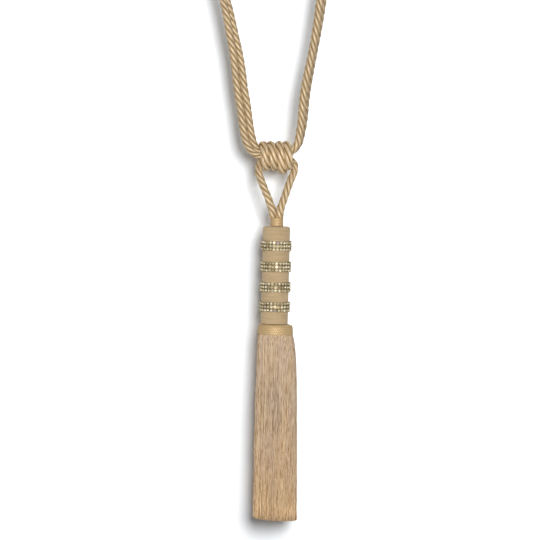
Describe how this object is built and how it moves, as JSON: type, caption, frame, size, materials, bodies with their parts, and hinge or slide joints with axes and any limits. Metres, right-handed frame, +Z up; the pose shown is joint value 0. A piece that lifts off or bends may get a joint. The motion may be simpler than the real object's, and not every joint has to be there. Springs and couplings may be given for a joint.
{
  "type": "curtain tassel tieback",
  "caption": "Curtain tieback: a doubled twisted rope loop, bound by a wound knot, carries a long thread tassel on a wound head with stone-set bands.",
  "frame": {"origin": "where a hook bears, on the inner side of the top of the rope loop", "axes": "+Z up along the tieback's length as it hangs, -Y the side that shows, +X to the right seen from there"},
  "size_m": [0.1206, 0.0443, 0.6914],
  "materials": {
    "rope": "soft sheen, twisted viscose rope",
    "wound_thread": "matte wound thread",
    "stone_chain": "bright cut stones in gilt cups",
    "braid": "satin woven braid",
    "skirt_threads": "silky loose threads"
  },
  "bodies": {
    "root": {"embrace_front": "rope", "embrace_back": "rope", "knot_winding": "rope", "hanger_left": "rope", "hanger_right": "rope", "neck_sleeve": "rope", "head": "wound_thread", "stone_band_1": "stone_chain", "stone_band_2": "stone_chain", "stone_band_3": "stone_chain", "stone_band_4": "stone_chain", "collar": "braid", "skirt": "skirt_threads"}
  },
  "joints": []
}
